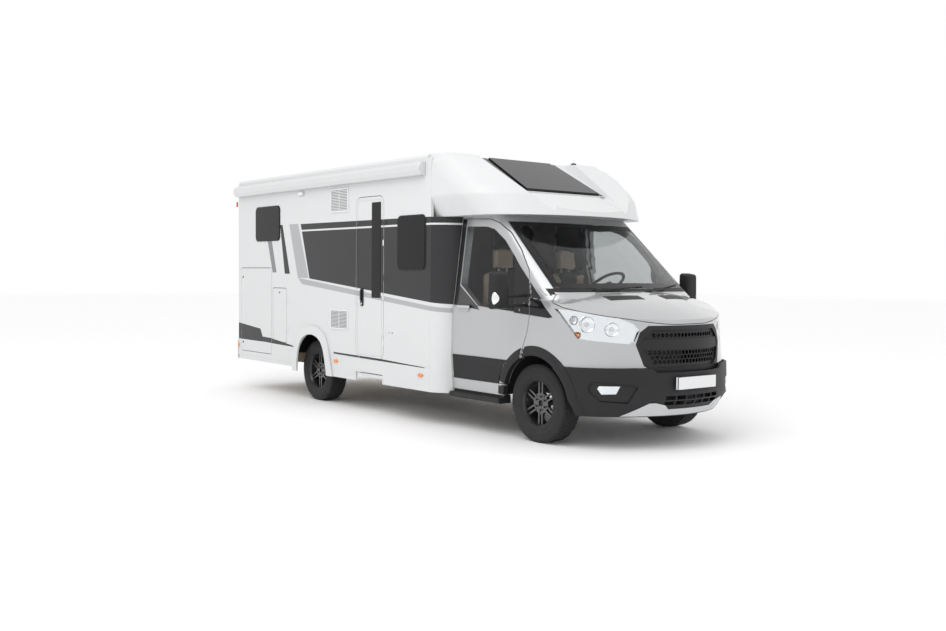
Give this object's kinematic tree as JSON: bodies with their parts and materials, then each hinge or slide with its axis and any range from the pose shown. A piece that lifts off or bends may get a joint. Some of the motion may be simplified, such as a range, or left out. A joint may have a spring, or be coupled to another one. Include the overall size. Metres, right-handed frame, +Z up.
{
  "type": "motorhome",
  "caption": "Low-profile coachbuilt motorhome on a front-wheel-drive van cab, with opening doors, lockers, bonnet, entry step and steering.",
  "frame": {"origin": "on the ground under the middle of the overall length and width", "axes": "+X forward, +Y to the vehicle's left, +Z up"},
  "size_m": [7.06, 2.85, 2.8733],
  "materials": {
    "coach_skin": "smooth white coachwork, slight gloss",
    "cab_paint": "metallic silver paint",
    "dark_glass": "dark tinted glazing",
    "lamp_glass": "clear lamp covers over bright reflectors",
    "black_plastic": "grained black plastic",
    "white_plastic": "white moulded plastic",
    "interior_wood": "plain laminated board",
    "chassis_steel": "black painted steel",
    "cast_metal": "cast engine block",
    "seat_fabric": "beige and dark grey cloth",
    "tyre_rubber": "black tyre rubber",
    "wheel_alloy": "cast alloy with machined faces"
  },
  "bodies": {
    "coach": {"arch_flares": "coach_skin", "awning_cassette": "coach_skin", "bed_platform": "interior_wood", "cab_body": "cab_paint", "cab_floor": "chassis_steel", "cab_seats": "seat_fabric", "cab_steps": "black_plastic", "chassis_frame": "chassis_steel", "coach_windows": "dark_glass", "corner_mouldings": "coach_skin", "dashboard": "black_plastic", "engine_block": "cast_metal", "fairings": "coach_skin", "floor_deck": "interior_wood", "front_bumper": "black_plastic", "front_subframe": "chassis_steel", "grille": "black_plastic", "headlamps": "lamp_glass", "number_plate": "white_plastic", "overcab_cap": "coach_skin", "rear_axle": "chassis_steel", "rear_bumper": "coach_skin", "rear_springs": "chassis_steel", "roof_deck": "coach_skin", "roof_hatches": "white_plastic", "roof_window": "dark_glass", "service_vents": "white_plastic", "skirts": "coach_skin", "step_housing": "black_plastic", "tail_lamps": "lamp_glass", "wall_left": "coach_skin", "wall_rear": "coach_skin", "wall_right": "coach_skin", "water_tank": "black_plastic", "wheel_housings": "black_plastic", "windscreen": "dark_glass"},
    "knuckle_right": {"knuckle_right": "chassis_steel"},
    "knuckle_left": {"knuckle_left": "chassis_steel"},
    "wheel_front_right": {"wheel_front_right": "wheel_alloy", "tyre_front_right": "tyre_rubber"},
    "wheel_front_left": {"wheel_front_left": "wheel_alloy", "tyre_front_left": "tyre_rubber"},
    "wheel_rear_right": {"wheel_rear_right": "wheel_alloy", "tyre_rear_right": "tyre_rubber"},
    "wheel_rear_left": {"wheel_rear_left": "wheel_alloy", "tyre_rear_left": "tyre_rubber"},
    "steering_wheel": {"steering_wheel": "black_plastic"},
    "cab_door_right": {"cab_door_right": "cab_paint", "door_glass_right": "dark_glass", "mirror_right": "black_plastic"},
    "cab_door_left": {"cab_door_left": "cab_paint", "door_glass_left": "dark_glass", "mirror_left": "black_plastic"},
    "bonnet": {"bonnet": "cab_paint"},
    "entry_door": {"entry_door": "coach_skin", "entry_window": "dark_glass"},
    "garage_door_right": {"garage_door_right": "coach_skin"},
    "garage_door_left": {"garage_door_left": "coach_skin"},
    "service_flap": {"service_flap": "coach_skin"},
    "entry_step": {"entry_step": "chassis_steel"}
  },
  "joints": [
    {"name": "steer_left", "type": "hinge", "parent": "coach", "child": "knuckle_left", "pos_m": [2.45, 0.715, 0.3675], "axis": [0, 0, 1], "range_deg": [-35, 35]},
    {"name": "steer_right", "type": "hinge", "parent": "coach", "child": "knuckle_right", "pos_m": [2.45, -0.715, 0.3675], "axis": [0, 0, 1], "range_deg": [-35, 35]},
    {"name": "spin_front_left", "type": "hinge", "parent": "knuckle_left", "child": "wheel_front_left", "pos_m": [2.45, 0.875, 0.3675], "axis": [0, 1, 0], "continuous": true},
    {"name": "spin_front_right", "type": "hinge", "parent": "knuckle_right", "child": "wheel_front_right", "pos_m": [2.45, -0.875, 0.3675], "axis": [0, 1, 0], "continuous": true},
    {"name": "spin_rear_left", "type": "hinge", "parent": "coach", "child": "wheel_rear_left", "pos_m": [-1.504, 0.945, 0.3675], "axis": [0, 1, 0], "continuous": true},
    {"name": "spin_rear_right", "type": "hinge", "parent": "coach", "child": "wheel_rear_right", "pos_m": [-1.504, -0.945, 0.3675], "axis": [0, 1, 0], "continuous": true},
    {"name": "steering_wheel_turn", "type": "hinge", "parent": "coach", "child": "steering_wheel", "pos_m": [1.94, 0.45, 1.478], "axis": [-0.5736, 0, 0.8192], "range_deg": [-540, 540]},
    {"name": "cab_door_right_swing", "type": "hinge", "parent": "coach", "child": "cab_door_right", "pos_m": [2.388, -1.03, 1.2], "axis": [0, 0, 1], "range_deg": [0, 70]},
    {"name": "cab_door_left_swing", "type": "hinge", "parent": "coach", "child": "cab_door_left", "pos_m": [2.388, 1.03, 1.2], "axis": [0, 0, -1], "range_deg": [0, 70]},
    {"name": "bonnet_lift", "type": "hinge", "parent": "coach", "child": "bonnet", "pos_m": [2.625, 0, 1.45], "axis": [0, -1, 0], "range_deg": [0, 60]},
    {"name": "entry_door_swing", "type": "hinge", "parent": "coach", "child": "entry_door", "pos_m": [0.128, -1.166, 1.5], "axis": [0, 0, 1], "range_deg": [0, 165]},
    {"name": "garage_door_right_swing", "type": "hinge", "parent": "coach", "child": "garage_door_right", "pos_m": [-2.497, -1.166, 1.05], "axis": [0, 0, 1], "range_deg": [0, 165]},
    {"name": "garage_door_left_swing", "type": "hinge", "parent": "coach", "child": "garage_door_left", "pos_m": [-2.497, 1.166, 1.05], "axis": [0, 0, -1], "range_deg": [0, 165]},
    {"name": "service_flap_swing", "type": "hinge", "parent": "coach", "child": "service_flap", "pos_m": [-2.09, -1.166, 1], "axis": [0, 0, 1], "range_deg": [0, 165]},
    {"name": "entry_step_slide", "type": "slide", "parent": "coach", "child": "entry_step", "axis": [0, -1, 0], "range_m": [0, 0.3]}
  ],
  "couplings": [
    {"joint": "steer_right", "follows": "steer_left", "ratio": 1},
    {"joint": "steering_wheel_turn", "follows": "steer_left", "ratio": 15.4}
  ]
}
